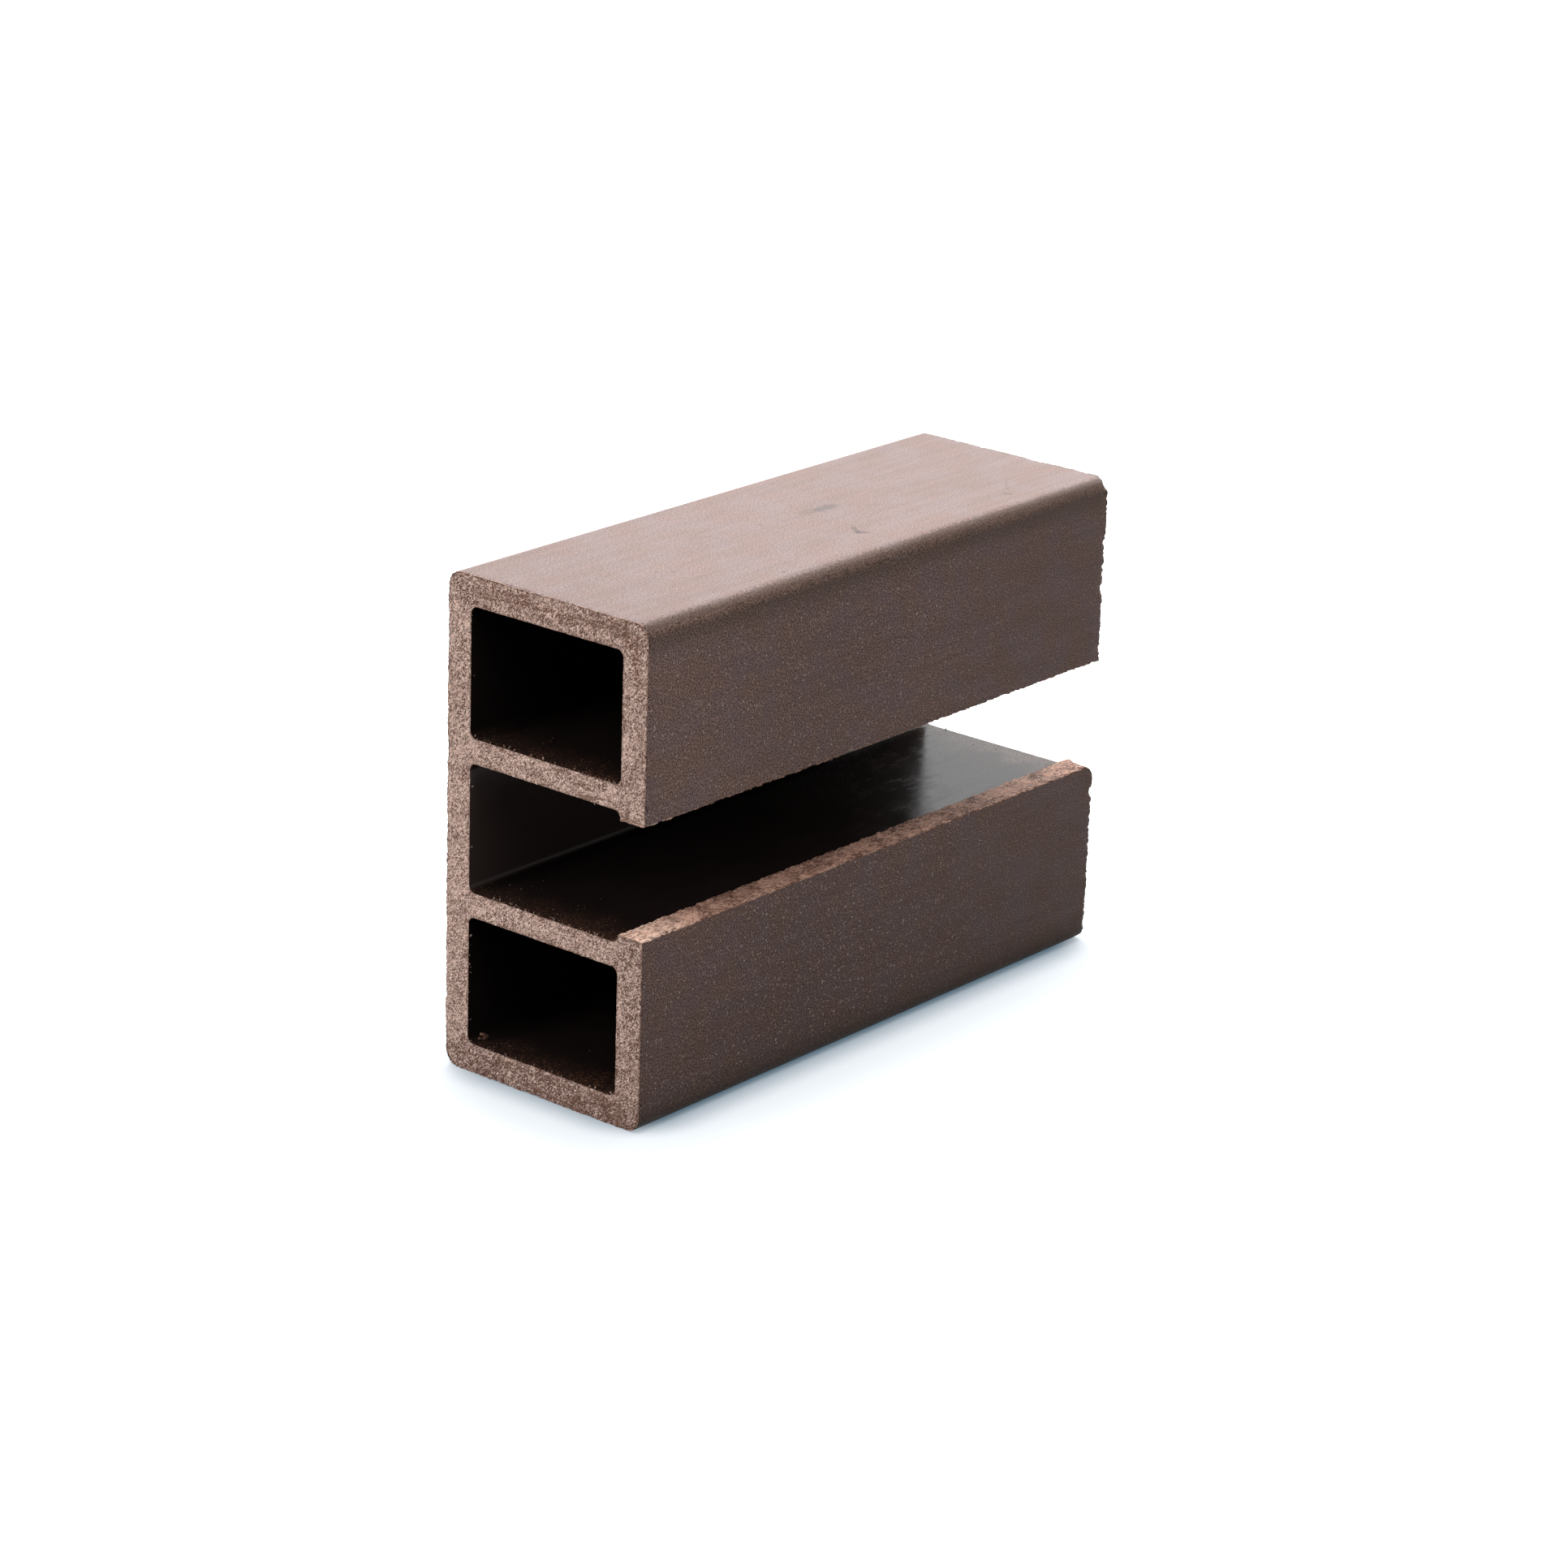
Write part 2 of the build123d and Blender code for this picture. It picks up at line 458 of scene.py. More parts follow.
def sawnFinish(name, look):
    material, tree, shader, p = newFinish(name)
    x, y, z = splitVec(tree, p)
    # every grain has a tone and a height of its own
    rising = times(tree, calc(tree, "SUBTRACT", z, y), 0.6)  # the grain is longer this way
    aslant = joinVec(tree, x, calc(tree, "ADD", y, z), rising)
    warp = vecCalc(tree, "MULTIPLY", aslant, look["stretch"])
    cells = addNode(tree, "ShaderNodeTexVoronoi", {"Vector": warp, "Scale": look["grain"]}).outputs["Color"]
    tone, lift, third = splitVec(tree, cells)
    patches = noise(tree, p, 0.30, 3.0, 0.6, 4.0)
    clumps = noise(tree, p, 1.6, 2.0, 0.6, 10.0)
    fine = noise(tree, warp, look["grain"] * 0.9, 2.0, 0.7, 2.0)
    mix = calc(tree, "ADD", calc(tree, "MULTIPLY", tone, 0.3), calc(tree, "MULTIPLY", fine, 0.7))
    mix = calc(tree, "ADD", mix, swing(tree, patches, look["patchy"]))
    mix = calc(tree, "ADD", mix, swing(tree, clumps, 0.35))
    lowDown = ease(tree, z, 3.5, 5.5, 1.0, 0.0)
    onSlot = ease(tree, y, -16.5, -15.0, 1.0, 0.0)
    onSlot = times(tree, onSlot, ease(tree, z, 20.0, 60.0, 0.45, 0.2))
    shaded = calc(tree, "MAXIMUM", lowDown, onSlot)
    shaded = calc(tree, "MAXIMUM", shaded, ease(tree, z, 74.5, 76.0, 0.0, 0.5))  # some on the top wall
    mix = calc(tree, "SUBTRACT", mix, calc(tree, "MULTIPLY", shaded, look["shaded"]))
    colour = blendColour(tree, ease(tree, mix, 0.28, 0.74), look["dark"], look["light"])
    glint = calc(tree, "MULTIPLY", ease(tree, third, 0.80, 0.97), ease(tree, fine, 0.44, 0.62))
    colour = blendColour(tree, glint, colour, look["glint"])
    # the saw dragged some of the material along each wall; the extra smear on the bottom wall is painted
    # shade
    inSpan = ease(tree, calc(tree, "SUBTRACT", cellDepth / 2 / mm, calc(tree, "ABSOLUTE", y)), -0.3, 0.3)
    acrossY = noise(tree, vecCalc(tree, "MULTIPLY", p, (1.0, 0.14, 1.0)), 1.1, 3.0, 0.6, 6.0)
    acrossZ = noise(tree, vecCalc(tree, "MULTIPLY", p, (1.0, 1.0, 0.14)), 1.1, 3.0, 0.6, 8.0)
    dragAndFootShade = addNode(tree, "ShaderNodeMix", {0: inSpan, 2: acrossZ, 3: acrossY}, data_type="FLOAT").outputs[0]
    dragAndFootShade = calc(tree, "ADD", dragAndFootShade, ease(tree, z, height / mm - 4.8, height / mm - 4.0, 0.0, 0.05))
    # painted shade: more smear on the bottom wall, by the floor
    dragAndFootShade = calc(tree, "ADD", dragAndFootShade, ease(tree, z, 3.5, 5.5, 0.03, 0.0))
    backUp = calc(tree, "MULTIPLY", ease(tree, y, 15.0, 16.5), ease(tree, z, 4.0, 60.0, 0.05, 0.11))
    dragAndFootShade = calc(tree, "SUBTRACT", dragAndFootShade, backUp)
    smear = ease(tree, dragAndFootShade, 0.54, 0.72, 0.0, 0.75)
    colour = blendColour(tree, smear, colour, look["smear"])
    rim = addNode(tree, "ShaderNodeAttribute", attribute_name="rim").outputs["Fac"]
    tear = ease(tree, noise(tree, p, 1.3, 2.0, 0.6, 9.0), 0.38, 0.54)
    onTop = ease(tree, z, height / mm - 1.5, height / mm - 0.5, 0.55, 1.0)
    torn = times(tree, tear, onTop, ease(tree, rim, 0.1 * mm, 0.4 * mm, 1.0, 0.0))
    if name == "sawnEnd":
        colour = blendColour(tree, torn, colour, look["smear"])
        dragged = calc(tree, "SUBTRACT", 1.0, strokes(tree, p, y, z, look["drags"]))
        dragged = times(tree, dragged, calc(tree, "LESS_THAN", x, 0.0), ease(tree, tone, 1.0, 0.3))
        colour = blendColour(tree, dragged, colour, look["smear"])
    if name == "sawnLip":
        # painted light: lightest by the near cut, darkest half way along, a little lighter again towards
        # the far cut
        start = ease(tree, x, -length / 2 / mm + 2, -length / 2 / mm + 18, 1.0, 0.0)
        colour = blendColour(tree, calc(tree, "MULTIPLY", start, tone), colour, look["glint"])
        lipPaintedLight = ease(tree, x, -length / 2 / mm + 2, -length / 2 / mm + 24, 1.22, 0.66)
        colour = vecScale(tree, colour, calc(tree, "MULTIPLY", lipPaintedLight, ease(tree, x, 10.0, 50.0, 1.0, 1.15)))
    feed(tree, colour, shader.inputs["Base Color"])
    shader.inputs["Roughness"].default_value = sawnGloss["roughness"]
    shader.inputs["Specular IOR Level"].default_value = sawnGloss["specular"]
    relief = calc(tree, "ADD", lift, fine)
    feed(tree, dent(tree, relief, look["bump"]), shader.inputs["Normal"])
    return material


# the sweep: rows of edges pulled from the near cut to the far one, then worn at both cuts
sweep = {
    "Length": length,
    "Depth": depth,
    "Height": height,
    "Wall": section["wall"],
    "Rows": 28,
    "Crowding": 2.2,  # power that draws the rows towards the two cuts
    "Grain Depth": 0.13 * mm,
    "Near Chip": 0.24 * mm,
    "Far Chip": 0.75 * mm,
    "Nibble": 0.19 * mm,
    "Inside Share": 0.15,  # how much of that wear the rims of the cells have
    "Corner Wear": 2.4 * mm,  # rounding of the lower lip at its far end
    "Seed": 7.0,
}


def treeInputs(tree, values):
    kinds = {int: "NodeSocketInt", float: "NodeSocketFloat", bpy.types.Material: "NodeSocketMaterial"}
    tree.interface.new_socket(name="Geometry", in_out="INPUT", socket_type="NodeSocketGeometry")
    tree.interface.new_socket(name="Geometry", in_out="OUTPUT", socket_type="NodeSocketGeometry")
    for name, value in values.items():
        tree.interface.new_socket(name=name, in_out="INPUT", socket_type=kinds[type(value)])
    return addNode(tree, "NodeGroupInput").outputs


# how much a point belongs to the top of the lower lip
def onLowerLip(tree, y, z):
    lipTop = middle - mouthHeight / 2
    share = ease(tree, z, lipTop - 5.0 * mm, lipTop)
    share = calc(tree, "MULTIPLY", share, lessThan(tree, z, lipTop + tiny))
    across = ease(tree, y, -depth / 2 + 1.5 * mm, -cellDepth / 2 + 1.0 * mm, 1.0, 0.0)
    return calc(tree, "MULTIPLY", share, across)


# drop of the lower lip's far end, which is worn to an arc
def wornCorner(tree, x, y, z, halfLength, given):
    wear = given["Corner Wear"]
    past = calc(tree, "MAXIMUM", calc(tree, "ADD", calc(tree, "SUBTRACT", x, halfLength), wear), 0.0)
    squares = calc(tree, "SUBTRACT", calc(tree, "MULTIPLY", wear, wear), calc(tree, "MULTIPLY", past, past))
    arc = calc(tree, "SUBTRACT", wear, calc(tree, "SQRT", calc(tree, "MAXIMUM", squares, 0.0)))
    return times(tree, arc, onLowerLip(tree, y, z), -1.0)


def sweepTree(values):
    tree = bpy.data.node_groups.new("profileSweep", "GeometryNodeTree")
    given = treeInputs(tree, values)
    position = addNode(tree, "GeometryNodeInputPosition").outputs[0]
    normal = addNode(tree, "GeometryNodeInputNormal").outputs[0]
    halfLength = calc(tree, "DIVIDE", given["Length"], 2.0)

    # distance of every point of the section from its own outline, kept as an attribute
    neighbours = addNode(tree, "GeometryNodeInputMeshEdgeNeighbors").outputs[0]
    outline = lessThan(tree, neighbours, 1.5)
    edges = {0: given["Geometry"], 1: outline}
    rimOnly = addNode(tree, "GeometryNodeSeparateGeometry", edges, domain="EDGE").outputs[0]
    near = addNode(tree, "GeometryNodeProximity", {0: rimOnly}, target_element="EDGES").outputs["Distance"]
    flat = keep(tree, given["Geometry"], "rim", near, "FLOAT", "POINT")
    toNear = joinVec(tree, calc(tree, "MULTIPLY", halfLength, -1.0))
    nearCut = addNode(tree, "GeometryNodeSetPosition", {0: flat, "Offset": toNear}).outputs[0]
    toFar = joinVec(tree, given["Length"])
    farCut = addNode(tree, "GeometryNodeSetPosition", {0: nearCut, "Offset": toFar}).outputs[0]
    farCut = addNode(tree, "GeometryNodeFlipFaces", {0: farCut}).outputs[0]

    # walls, one row at a time
    start = keep(tree, nearCut, "front", outline, "BOOLEAN", "EDGE")
    rowIn = addNode(tree, "GeometryNodeRepeatInput")
    rowOut = addNode(tree, "GeometryNodeRepeatOutput")
    rowIn.pair_with_output(rowOut)
    feed(tree, given["Rows"], rowIn.inputs["Iterations"])
    feed(tree, start, rowIn.inputs["Geometry"])

    def station(index):
        side = calc(tree, "DIVIDE", times(tree, index, 2.0), given["Rows"])
        side = calc(tree, "SUBTRACT", side, 1.0)
        toCut = calc(tree, "SUBTRACT", 1.0, calc(tree, "ABSOLUTE", side))
        reach = calc(tree, "SUBTRACT", 1.0, calc(tree, "POWER", toCut, given["Crowding"]))
        return times(tree, reach, calc(tree, "SIGN", side), halfLength)

    this = station(rowIn.outputs["Iteration"])
    following = station(calc(tree, "ADD", rowIn.outputs["Iteration"], 1.0))
    step = joinVec(tree, calc(tree, "SUBTRACT", following, this))
    front = recall(tree, "front", "BOOLEAN")
    pull = {"Mesh": rowIn.outputs["Geometry"], "Selection": front, "Offset": step, "Offset Scale": 1.0}
    pulled = addNode(tree, "GeometryNodeExtrudeMesh", pull, mode="EDGES").outputs
    onward = keep(tree, pulled["Mesh"], "front", pulled["Top"], "BOOLEAN", "EDGE")
    feed(tree, onward, rowOut.inputs["Geometry"])

    whole = addNode(tree, "GeometryNodeJoinGeometry")
    feed(tree, farCut, whole.inputs[0])
    feed(tree, rowOut.outputs["Geometry"], whole.inputs[0])
    body = weld(tree, whole.outputs[0])

    # which finish each face has: 0 outside, 1 inside, 2 sawn end
    x, y, z = splitVec(tree, position)
    halfHeight = calc(tree, "DIVIDE", given["Height"], 2.0)
    fromMiddle = calc(tree, "ABSOLUTE", calc(tree, "SUBTRACT", z, halfHeight))
    fromSide = calc(tree, "SUBTRACT", calc(tree, "DIVIDE", given["Depth"], 2.0), calc(tree, "ABSOLUTE", y))
    fromSkin = calc(tree, "MINIMUM", fromSide, calc(tree, "SUBTRACT", halfHeight, fromMiddle))
    isInside = lessThan(tree, times(tree, given["Wall"], 0.5), fromSkin)
    isEnd = lessThan(tree, 0.5, calc(tree, "ABSOLUTE", splitVec(tree, normal)[0]))
    finish = choose(tree, isEnd, choose(tree, isInside, 0, 1, "INT"), 2, "INT")
    body = keep(tree, body, "finish", finish, "INT", "FACE")
    bend = addNode(tree, "GeometryNodeInputMeshEdgeAngle").outputs[0]
    soft = {0: body, "Shade Smooth": lessThan(tree, bend, math.radians(40))}
    body = addNode(tree, "GeometryNodeSetShadeSmooth", soft, domain="EDGE").outputs[0]

    # wear: everything moves into the material, so the size stays
    p = vecScale(tree, position, 1 / mm)
    fromCut = calc(tree, "SUBTRACT", halfLength, calc(tree, "ABSOLUTE", x))
    rim = recall(tree, "rim", "FLOAT")
    onCut = lessThan(tree, fromCut, tiny)
    farSide = lessThan(tree, 0.0, x)
    chip = choose(tree, farSide, given["Near Chip"], given["Far Chip"])
    grain = noise(tree, p, 1.5, 2.0, 0.6, given["Seed"])
    bite = ease(tree, noise(tree, p, 0.33, 3.0, 0.7, calc(tree, "ADD", given["Seed"], 1.0)), 0.48, 0.68)
    nibble = ease(tree, noise(tree, p, 2.1, 1.0, 0.5, calc(tree, "ADD", given["Seed"], 2.0)), 0.42, 0.66)
    broken = calc(tree, "ADD", times(tree, bite, chip), times(tree, nibble, given["Nibble"]))
    broken = times(tree, broken, choose(tree, isInside, 1.0, given["Inside Share"]))
    frontEdge = ease(tree, y, -depth / 2 + 1.0 * mm, -depth / 2 + 4.0 * mm, 1.0, 0.25)
    smoothLip = calc(tree, "SUBTRACT", 1.0, onLowerLip(tree, y, z))
    broken = times(tree, broken, choose(tree, farSide, 1.0, times(tree, frontEdge, smoothLip)))
    atRim = calc(tree, "MULTIPLY", broken, ease(tree, rim, 0.0, 1.0 * mm, 1.0, 0.0))
    sink = calc(tree, "ADD", calc(tree, "MULTIPLY", grain, given["Grain Depth"]), atRim)
    sink = times(tree, sink, onCut, calc(tree, "SIGN", x))
    sideways = vecCalc(tree, "MULTIPLY", normal, (0.0, 1.0, 1.0))
    onWall = lessThan(tree, 0.1, vecCalc(tree, "LENGTH", sideways))  # not the flat of the cut
    sideways = vecScale(tree, vecCalc(tree, "NORMALIZE", sideways), onWall)
    shave = calc(tree, "MULTIPLY", broken, ease(tree, fromCut, 0.0, 1.1 * mm, -0.7, 0.0))
    lower = wornCorner(tree, x, y, z, halfLength, given)
    inward = joinVec(tree, times(tree, sink, -1.0), 0.0, lower)
    move = vecCalc(tree, "ADD", inward, vecScale(tree, sideways, shave))
    body = addNode(tree, "GeometryNodeSetPosition", {0: body, "Offset": move}).outputs[0]

    body = addNode(tree, "GeometryNodeRealizeInstances", {0: body}).outputs[0]
    stored = recall(tree, "finish", "INT")
    for k, name in enumerate(("Outside", "Inside", "Sawn End")):
        chosen = isNumber(tree, stored, k)
        body = addNode(tree, "GeometryNodeSetMaterial", {0: body, 1: chosen, 2: given[name]}).outputs[0]
    addNode(tree, "NodeGroupOutput", {0: body})
    return tree


def runTree(name, mesh, tree, values):
    holder = bpy.data.objects.new(name + ".source", mesh)
    bpy.context.scene.collection.objects.link(holder)
    modifier = holder.modifiers.new(name, "NODES")
    modifier.node_group = tree
    for item in tree.interface.items_tree:
        if item.in_out == "INPUT" and item.name in values:
            modifier[item.identifier] = values[item.name]
    evaluated = holder.evaluated_get(bpy.context.evaluated_depsgraph_get())
    made = bpy.data.meshes.new_from_object(evaluated)
    bpy.data.objects.remove(holder)
    made.name = name
    piece = bpy.data.objects.new(name, made)
    bpy.context.scene.collection.objects.link(piece)
    made.calc_loop_triangles()
    low, high = ([f(v.co[k] for v in made.vertices) / mm for k in range(3)] for f in (min, max))
    box = [round(v, 2) for v in low + high]
    print("made", name, "with", len(made.loop_triangles), "triangles,", box, "mm")
    return piece


endFinishes = {
    "Outside": brushedFinish(),
    "Inside": extrudedFinish(),
    "Sawn End": sawnFinish("sawnEnd", sawnEnd),
}
lipFinish = sawnFinish("sawnLip", sawnLip)
sweepValues = {**sweep, **endFinishes}
profile = runTree("uProfile", makeSection(), sweepTree(sweepValues), sweepValues)


# torn tops of the two lips: a fine strip along the slot mouth, and the same strip turned over above it
lips = {
    "Length": length,
    "Width": section["wall"],
    "Skin": section["lipSkin"],
    "Columns": 340,
    "Lines": 16,
    "Depth Of Tear": 0.22 * mm,
    "Edge Tear": 0.20 * mm,
    "Seed": 3.0,
}


def lipTree(values):
    tree = bpy.data.node_groups.new("lipStrips", "GeometryNodeTree")
    given = treeInputs(tree, values)
    position = addNode(tree, "GeometryNodeInputPosition").outputs[0]
    sizes = {"Size X": given["Length"], "Size Y": given["Width"]}
    counts = {"Vertices X": given["Columns"], "Vertices Y": given["Lines"]}
    sheet = addNode(tree, "GeometryNodeMeshGrid", {**sizes, **counts}).outputs[0]
    under = addNode(tree, "GeometryNodeFlipFaces", {0: sheet}).outputs[0]
    skin = joinVec(tree, 0.0, 0.0, given["Skin"])
    pull = {"Mesh": sheet, "Offset": skin, "Individual": False}
    upper = addNode(tree, "GeometryNodeExtrudeMesh", pull, mode="FACES").outputs["Mesh"]
    both = addNode(tree, "GeometryNodeJoinGeometry")
    feed(tree, upper, both.inputs[0])
    feed(tree, under, both.inputs[0])
    strip = weld(tree, both.outputs[0])

    # fibres torn along the strip: long noise for the depth, finer noise for the two edges
    x, y, z = splitVec(tree, position)
    p = vecScale(tree, position, 1 / mm)
    long = noise(tree, vecCalc(tree, "MULTIPLY", p, (0.45, 1.3, 1.0)), 1.0, 3.0, 0.6, given["Seed"])
    fine = noise(tree, p, 1.6, 2.0, 0.6, calc(tree, "ADD", given["Seed"], 1.0))
    high = calc(tree, "GREATER_THAN", z, calc(tree, "MULTIPLY", given["Skin"], 0.5))
    tear = calc(tree, "ADD", calc(tree, "MULTIPLY", long, 0.7), calc(tree, "MULTIPLY", fine, 0.3))
    tear = calc(tree, "MULTIPLY", ease(tree, tear, 0.3, 0.7), given["Depth Of Tear"])
    fromEdge = calc(tree, "SUBTRACT", calc(tree, "DIVIDE", given["Width"], 2.0), calc(tree, "ABSOLUTE", y))
    edge = ease(tree, fine, 0.42, 0.68)
    edge = times(tree, edge, ease(tree, fromEdge, 0.0, 0.5 * mm, 1.0, 0.0))
    inward = times(tree, edge, given["Edge Tear"], calc(tree, "SIGN", y))
    drop = calc(tree, "ADD", tear, times(tree, edge, times(tree, given["Skin"], 0.25)))
    move = joinVec(tree, 0.0, times(tree, inward, -1.0), times(tree, drop, -1.0))
    strip = addNode(tree, "GeometryNodeSetPosition", {0: strip, 1: high, "Offset": move}).outputs[0]
    bend = addNode(tree, "GeometryNodeInputMeshEdgeAngle").outputs[0]
    soft = {0: strip, "Shade Smooth": lessThan(tree, bend, math.radians(50))}
    strip = addNode(tree, "GeometryNodeSetShadeSmooth", soft, domain="EDGE").outputs[0]

    # one on the lower arm, one turned over for the upper arm
    across = (cellDepth + section["wall"]) / -2
    low = addNode(tree, "GeometryNodeTransform", {0: strip})
    low.inputs["Translation"].default_value = (0, across, middle - bodyMouth / 2)
    high = addNode(tree, "GeometryNodeTransform", {0: strip})
    high.inputs["Translation"].default_value = (0, across, middle + bodyMouth / 2)
    high.inputs["Rotation"].default_value = (0, math.pi, 0)
    pair = addNode(tree, "GeometryNodeJoinGeometry")
    feed(tree, low.outputs[0], pair.inputs[0])
    feed(tree, high.outputs[0], pair.inputs[0])
    x, y, z = splitVec(tree, position)
    lower = wornCorner(tree, x, y, z, calc(tree, "DIVIDE", given["Length"], 2.0), given)
    lower = joinVec(tree, 0.0, 0.0, lower)
    worn = addNode(tree, "GeometryNodeSetPosition", {0: pair.outputs[0], "Offset": lower})
    made = addNode(tree, "GeometryNodeRealizeInstances", {0: worn.outputs[0]}).outputs[0]
    made = addNode(tree, "GeometryNodeSetMaterial", {0: made, 2: given["Sawn Lip"]}).outputs[0]
    turned = splitVec(tree, addNode(tree, "GeometryNodeInputNormal").outputs[0])[0]
    atEnd = lessThan(tree, 0.5, calc(tree, "ABSOLUTE", turned))
    made = addNode(tree, "GeometryNodeSetMaterial", {0: made, 1: atEnd, 2: given["Sawn End"]}).outputs[0]
    addNode(tree, "NodeGroupOutput", {0: made})
    return tree


lipFinishes = {"Sawn Lip": lipFinish, "Sawn End": endFinishes["Sawn End"]}
lipValues = {**lips, "Corner Wear": sweep["Corner Wear"], **lipFinishes}
lipStrips = runTree("sawnLips", bpy.data.meshes.new("lipStart"), lipTree(lipValues), lipValues)


# what the saw left: fibres standing on the inside rims, dust on the floors of the cells, one curl
leavings = {
    "Length": length,
    "Fibres Per Square": 3.0 / mm ** 2,
    "Fibre Band": 0.35 * mm,
    "Fibre Length": 0.30 * mm,
    "Dust Per Square": 3.5 / mm ** 2,
    "Dust Reach": 2.2 * mm,
    "Dust Size": 0.15 * mm,
    "Far Share": 0.08,  # how much of all this lies at the far cut
    "Seed": 11,
}
# larger fibres on the near rims, y and z in mm
strays = ((8.4, 54.5), (7.5, 54.5), (6.4, 54.5), (2.9, 54.5), (0.4, 54.5),
          (-2.3, 29.7), (-14.2, 5.0), (9.0, 29.7), (15.0, 22.4), (15.0, 17.6))
strayInset = 0.25 * mm  # how far behind the cut they stand
# the curl of swarf in the lower cell
swarf = {
    "spiral": {"Rotations": 0.8, "Start Radius": 0.50 * mm, "End Radius": 0.85 * mm, "Height": 0.4 * mm},
    "thick": 0.25 * mm,
    "at": Vector((-53.9, 14.0, 5.2)) * mm,
    "turn": (0.7, 0.1, 2.2),
}


def randomValue(tree, low, high, seed):
    node = addNode(tree, "FunctionNodeRandomValue", data_type="FLOAT")
    feed(tree, low, node.inputs[2])
    feed(tree, high, node.inputs[3])
    feed(tree, seed, node.inputs["Seed"])
    return node.outputs[1]


def randomVector(tree, low, high, seed):
    inputs = {0: low, 1: high, "Seed": seed}
    return addNode(tree, "FunctionNodeRandomValue", inputs, data_type="FLOAT_VECTOR").outputs[0]


def tube(tree, line, ring):
    inputs = {"Curve": line, "Profile Curve": ring, "Fill Caps": True}
    return addNode(tree, "GeometryNodeCurveToMesh", inputs).outputs[0]


def fibreShape(tree):
    points = {"Start": (0, 0, 0), "Middle": (0.02, 0.0, 0.6), "End": (0.35, 0.1, 1.0), "Resolution": 4}
    line = addNode(tree, "GeometryNodeCurveQuadraticBezier", points).outputs[0]
    along = addNode(tree, "GeometryNodeSplineParameter").outputs["Factor"]
    tapered = {"Curve": line, "Radius": ease(tree, along, 0.0, 1.0, 1.0, 0.25)}
    line = addNode(tree, "GeometryNodeSetCurveRadius", tapered).outputs[0]
    ring = addNode(tree, "GeometryNodeCurvePrimitiveCircle", {"Resolution": 4, "Radius": 0.28}).outputs[0]
    return tube(tree, line, ring)


def leavingsTree(values):
    tree = bpy.data.node_groups.new("sawLeavings", "GeometryNodeTree")
    given = treeInputs(tree, values)
    position = addNode(tree, "GeometryNodeInputPosition").outputs[0]
    normal = addNode(tree, "GeometryNodeInputNormal").outputs[0]
    x, y, z = splitVec(tree, position)
    fromCut = calc(tree, "SUBTRACT", calc(tree, "DIVIDE", given["Length"], 2.0), calc(tree, "ABSOLUTE", x))
    isInside = isNumber(tree, recall(tree, "finish", "INT"), 1)

    # fibres lean off the rim into the cell
    inBand = logic(tree, "AND", isInside, lessThan(tree, fromCut, given["Fibre Band"]))
    spread = {"Mesh": given["Geometry"], "Selection": inBand, "Seed": given["Seed"]}
    rims = addNode(tree, "GeometryNodeDistributePointsOnFaces", spread, distribute_method="RANDOM")
    onFloor = ease(tree, splitVec(tree, normal)[2], -0.2, 0.8, 0.06, 1.0)
    nearby = ease(tree, x, -10.0 * mm, 10.0 * mm, 1.0, given["Far Share"])
    feed(tree, times(tree, given["Fibres Per Square"], onFloor, nearby), rims.inputs["Density"])
    sway = randomVector(tree, (-0.35, -0.9, -0.9), (0.35, 0.9, 0.9), 1)
    lean = vecCalc(tree, "ADD", rims.outputs["Normal"], sway)
    turn = addNode(tree, "FunctionNodeAlignRotationToVector", {"Vector": lean}, axis="Z").outputs[0]
    tall = calc(tree, "MULTIPLY", given["Fibre Length"], randomValue(tree, 0.25, 1.0, 2))
    spots = rims.outputs["Points"]
    stems = {"Points": spots, "Instance": fibreShape(tree), "Rotation": turn, "Scale": tall}
    fibres = addNode(tree, "GeometryNodeInstanceOnPoints", stems).outputs[0]
    loose = addNode(tree, "GeometryNodeInputMeshVertexNeighbors").outputs["Face Count"]
    lone = {"Mesh": given["Geometry"], "Selection": isNumber(tree, loose, 0)}
    spots = addNode(tree, "GeometryNodeMeshToPoints", lone).outputs[0]
    lean = vecCalc(tree, "ADD", randomVector(tree, (-0.1, -1.6, -0.1), (0.3, 1.6, 0.1), 6), (0, 0, 1))
    turn = addNode(tree, "FunctionNodeAlignRotationToVector", {"Vector": lean}, axis="Z").outputs[0]
    tall = calc(tree, "MULTIPLY", given["Fibre Length"], randomValue(tree, 0.9, 1.5, 7))
    stems = {"Points": spots, "Instance": fibreShape(tree), "Rotation": turn, "Scale": tall}
    placed = addNode(tree, "GeometryNodeInstanceOnPoints", stems).outputs[0]

    # dust lies on whatever faces up, thickest at the cut
    lying = logic(tree, "AND", isInside, lessThan(tree, 0.7, splitVec(tree, normal)[2]))
    thin = calc(tree, "DIVIDE", times(tree, fromCut, -1.0), given["Dust Reach"])
    thin = calc(tree, "POWER", 2.718, thin)
    drift = ease(tree, noise(tree, vecScale(tree, position, 1 / mm), 0.25, 2.0, 0.6, 5.0), 0.40, 0.65)
    density = times(tree, thin, drift, given["Dust Per Square"], nearby)
    spread = {"Mesh": given["Geometry"], "Selection": lying, "Seed": given["Seed"]}
    floors = addNode(tree, "GeometryNodeDistributePointsOnFaces", spread, distribute_method="RANDOM")
    feed(tree, density, floors.inputs["Density"])
    grain = addNode(tree, "GeometryNodeMeshIcoSphere", {"Radius": 0.5, "Subdivisions": 1}).outputs[0]
    anyTurn = randomVector(tree, (0, 0, 0), (6.3, 6.3, 6.3), 3)
    anyTurn = addNode(tree, "FunctionNodeEulerToRotation", {0: anyTurn}).outputs[0]
    uneven = vecScale(tree, randomVector(tree, (0.4, 0.4, 0.4), (1.6, 1.2, 1.0), 4), given["Dust Size"])
    heap = {"Points": floors.outputs["Points"], "Instance": grain, "Rotation": anyTurn, "Scale": uneven}
    dust = addNode(tree, "GeometryNodeInstanceOnPoints", heap).outputs[0]

